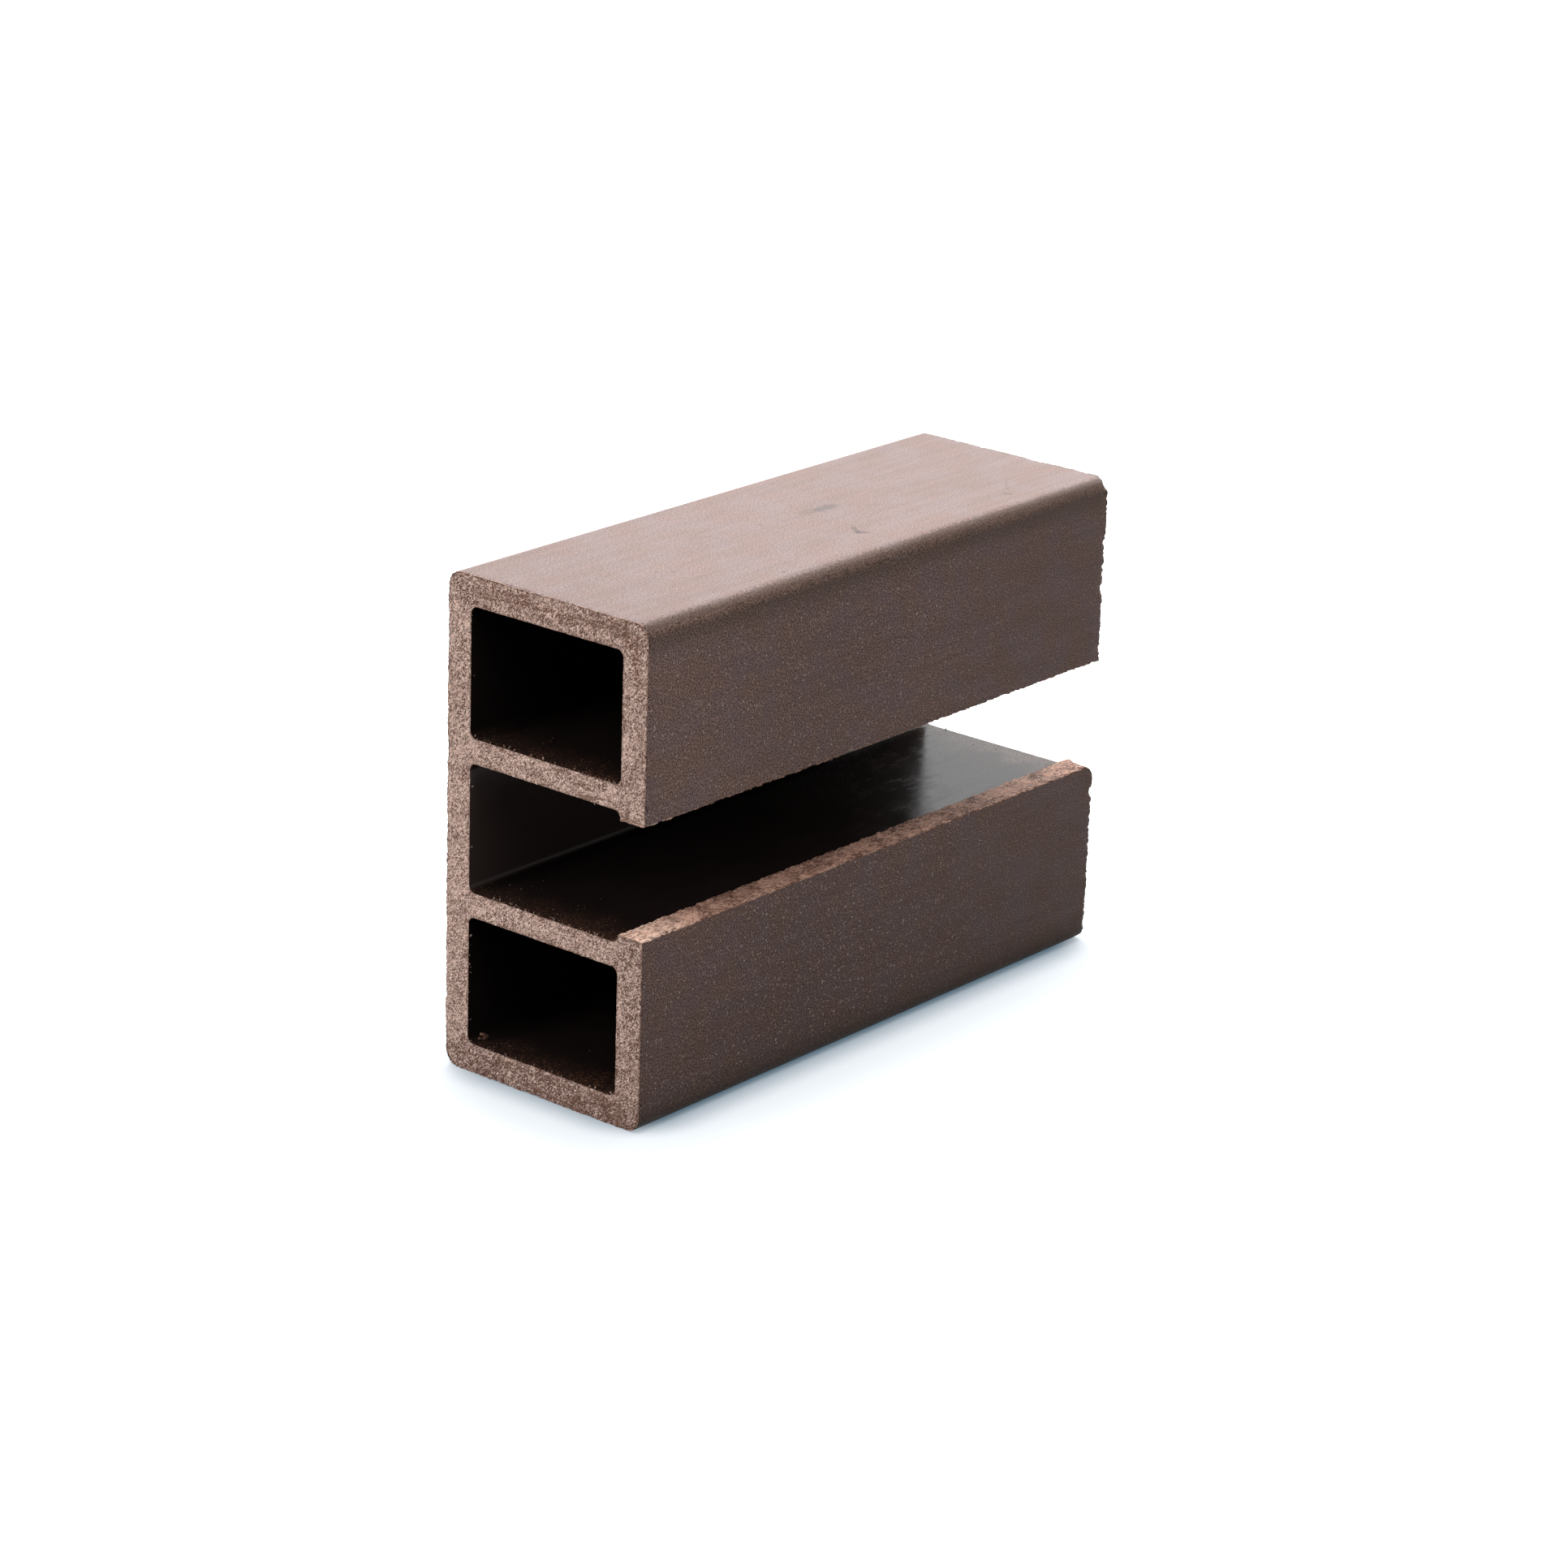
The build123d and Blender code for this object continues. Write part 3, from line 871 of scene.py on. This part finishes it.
    # one curl of swarf in the lower cell
    curl = addNode(tree, "GeometryNodeCurveSpiral", {"Resolution": 14, **swarf["spiral"]}).outputs[0]
    ring = {"Resolution": 6, "Radius": swarf["thick"]}
    ring = addNode(tree, "GeometryNodeCurvePrimitiveCircle", ring).outputs[0]
    curl = addNode(tree, "GeometryNodeTransform", {0: tube(tree, curl, ring)})
    curl.inputs["Translation"].default_value = swarf["at"]
    curl.inputs["Rotation"].default_value = swarf["turn"]

    every = addNode(tree, "GeometryNodeJoinGeometry")
    parts = ((fibres, "Fibre"), (placed, "Fibre"), (dust, "Saw Dust"), (curl.outputs[0], "Saw Dust"))
    for part, finishName in parts:
        part = addNode(tree, "GeometryNodeRealizeInstances", {0: part}).outputs[0]
        part = addNode(tree, "GeometryNodeSetMaterial", {0: part, 2: given[finishName]}).outputs[0]
        feed(tree, part, every.inputs[0])
    made = every.outputs[0]
    overhang = calc(tree, "MULTIPLY", calc(tree, "MINIMUM", fromCut, 0.0), calc(tree, "SIGN", x))
    made = addNode(tree, "GeometryNodeSetPosition", {0: made, "Offset": joinVec(tree, overhang)}).outputs[0]
    addNode(tree, "NodeGroupOutput", {0: made})
    return tree


leavingsValues = {**leavings, "Saw Dust": sawnFinish("sawDust", sawDust), "Fibre": endFinishes["Sawn End"]}
ground = profile.data.copy()
first = len(ground.vertices)
ground.vertices.add(len(strays))
for k, (y, z) in enumerate(strays):
    ground.vertices[first + k].co = (-length / 2 + strayInset, y * mm, z * mm)
sawLeavings = runTree("sawLeavings", ground, leavingsTree(leavingsValues), leavingsValues)

for piece in (profile, lipStrips, sawLeavings):
    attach(piece, "root")
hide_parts("u_profile")


# floor, light and camera
studio = {
    "floorSize": 8.0,
    "floorRoughness": 0.9,
    "floorSeen": (0.30, 0.315, 0.33, 1),
    "floorBounce": (0.06, 0.06, 0.06, 1),  # what it throws back on the object
    "footShadeGlow": (0.07, 0.125, 0.17, 1),  # painted shade: the dim glow the camera sees of the floor right at the foot
    "floorGlow": (0.57, 0.60, 0.63, 1),  # and a little way off
    "footInset": 9.0 * mm,  # distances are taken from a line this far under the object
    "glowStart": (6.5 * mm, 15.0 * mm),  # over this the first glow turns into the second
    "glowReach": (11.5 * mm, 44.5 * mm),  # over this the floor turns into the plain white ground
    "worldFill": 0.16,
}


def seenRays(tree):
    rays = addNode(tree, "ShaderNodeLightPath").outputs
    seen = calc(tree, "MAXIMUM", rays["Is Camera Ray"], rays["Is Glossy Ray"])
    return calc(tree, "MAXIMUM", seen, rays["Is Transmission Ray"])


def makeFloor():
    half = studio["floorSize"] / 2
    mesh = bpy.data.meshes.new("floor")
    corners = [(-half, -half, 0), (half, -half, 0), (half, half, 0), (-half, half, 0)]
    mesh.from_pydata(corners, [], [(0, 1, 2, 3)])
    floor = bpy.data.objects.new("floor", mesh)
    bpy.context.scene.collection.objects.link(floor)
    material = bpy.data.materials.new("paleFloor")
    material.use_nodes = True
    tree = material.node_tree
    shader = tree.nodes["Principled BSDF"]
    coords = addNode(tree, "ShaderNodeTexCoord").outputs["Object"]
    footSize = (length / 2 - studio["footInset"], depth / 2 - studio["footInset"], 0)
    foot = vecCalc(tree, "SUBTRACT", vecCalc(tree, "ABSOLUTE", coords), footSize)
    away = vecCalc(tree, "LENGTH", vecCalc(tree, "MAXIMUM", foot, (0, 0, 0)))
    seen = seenRays(tree)
    tone = blendColour(tree, seen, studio["floorBounce"], studio["floorSeen"])
    feed(tree, tone, shader.inputs["Base Color"])
    shader.inputs["Roughness"].default_value = studio["floorRoughness"]
    shader.inputs["Specular IOR Level"].default_value = 0.0
    # painted shadow round the foot: the glow is dimmest there and rises to plain white further off
    pastFootShade = ease(tree, away, *studio["glowStart"])
    glow = blendColour(tree, pastFootShade, studio["footShadeGlow"], studio["floorGlow"])
    glow = blendColour(tree, ease(tree, away, *studio["glowReach"]), glow, (1, 1, 1, 1))
    feed(tree, glow, shader.inputs["Emission Color"])
    feed(tree, seen, shader.inputs["Emission Strength"])
    floor.data.materials.append(material)


def makeWorld():
    world = bpy.data.worlds.new("studioWorld")
    bpy.context.scene.world = world
    world.use_nodes = True
    tree = world.node_tree
    background = tree.nodes["Background"]
    background.inputs["Color"].default_value = (1, 1, 1, 1)
    strength = ease(tree, seenRays(tree), 0.0, 1.0, studio["worldFill"], 1.0)
    feed(tree, strength, background.inputs["Strength"])


lamps = {
    "topBox": {"from": (0.15, 0.10, 1.10), "size": (0.9, 0.9), "watts": 15.0},
    "backKey": {"from": (0.30, 0.40, 0.54), "size": (0.36, 0.24), "watts": 2.7},
    "farKey": {"from": (0.62, 0.16, 0.46), "size": (0.36, 0.36), "watts": 3.0},
    "backPanel": {"from": (1.00, 0.82, 0.45), "size": (2.0, 1.0), "watts": 11.0},
    "leftBox": {"from": (-1.05, 0.35, 0.10), "size": (0.7, 0.4), "watts": 9.0},
    "leftHigh": {"from": (-0.75, 0.25, 0.55), "size": (0.5, 0.5), "watts": 2.2},
    "frontBox": {"from": (-0.10, -0.20, 0.34), "size": (0.3, 0.3), "watts": 0.52},
}


def makeLamps():
    target = Vector((0, 0, height / 2))
    for name, lamp in lamps.items():
        data = bpy.data.lights.new(name, "AREA")
        data.shape = "RECTANGLE"
        data.size, data.size_y = lamp["size"]
        data.energy = lamp["watts"]
        box = bpy.data.objects.new(name, data)
        bpy.context.scene.collection.objects.link(box)
        box.location = lamp["from"]
        box.rotation_euler = (target - box.location).to_track_quat("-Z", "Y").to_euler()
        box.visible_camera = False


view = {
    "aim": Vector((0.2, 0.0, 36.62)) * mm,
    "azimuth": -50.597,
    "elevation": 19.607,
    "roll": 1.853,
    "distance": 742.67 * mm,
    "lens": 107.615,
    "sensor": 36.0,
    "clipStart": 0.05,
}


def makeCamera():
    a, e, r = (math.radians(view[k]) for k in ("azimuth", "elevation", "roll"))
    back = Vector((math.sin(a) * math.cos(e), -math.cos(a) * math.cos(e), math.sin(e)))
    level = Vector((math.cos(a), math.sin(a), 0))
    right = level * math.cos(r) + back.cross(level) * math.sin(r)
    camera = bpy.data.objects.new("photoView", bpy.data.cameras.new("photoView"))
    bpy.context.scene.collection.objects.link(camera)
    camera.data.lens = view["lens"]
    camera.data.sensor_width = view["sensor"]
    camera.data.clip_start = view["clipStart"]
    turn = Matrix((right, back.cross(right), back)).transposed()
    camera.matrix_world = Matrix.Translation(view["aim"] + back * view["distance"]) @ turn.to_4x4()
    bpy.context.scene.camera = camera


makeFloor()
makeWorld()
makeLamps()
makeCamera()
bpy.context.scene.view_settings.view_transform = "Standard"
print("floor, light and camera set")
